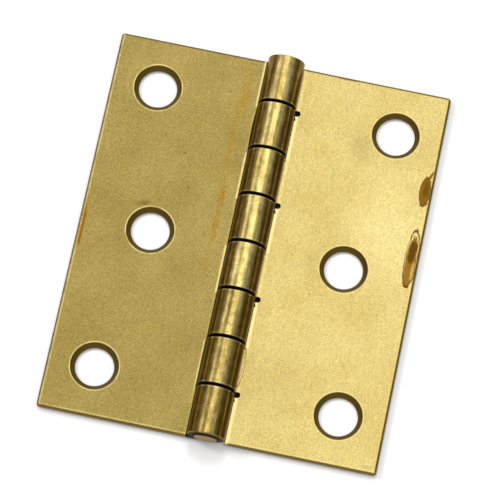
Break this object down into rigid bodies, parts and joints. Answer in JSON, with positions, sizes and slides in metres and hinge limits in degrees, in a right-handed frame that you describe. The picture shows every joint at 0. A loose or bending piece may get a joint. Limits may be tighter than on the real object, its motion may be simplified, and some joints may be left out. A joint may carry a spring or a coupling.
{
  "type": "butt hinge",
  "caption": "Brass butt hinge of rolled sheet: flat leaves with countersunk screw holes fold face to face on a pin through interleaved knuckles.",
  "frame": {"origin": "middle of the open hinge, on the plane of both leaves' backs, straight below the middle of the pin", "axes": "+X from the pin towards the right leaf, +Y along the pin towards the right leaf's end knuckle, +Z out of the leaves' front faces"},
  "size_m": [0.065, 0.0768, 0.0071],
  "materials": {
    "left_leaf_brass": "dull rubbed",
    "right_leaf_brass": "satin",
    "pin_brass": "tarnished"
  },
  "bodies": {
    "left_leaf": {"left_leaf": "left_leaf_brass", "hinge_pin": "pin_brass"},
    "right_leaf": {"right_leaf": "right_leaf_brass"}
  },
  "joints": [
    {"name": "leaf_swing", "type": "hinge", "parent": "left_leaf", "child": "right_leaf", "pos_m": [0, 0, 0.00355], "axis": [0, -1, 0], "range_deg": [-85, 187]}
  ]
}
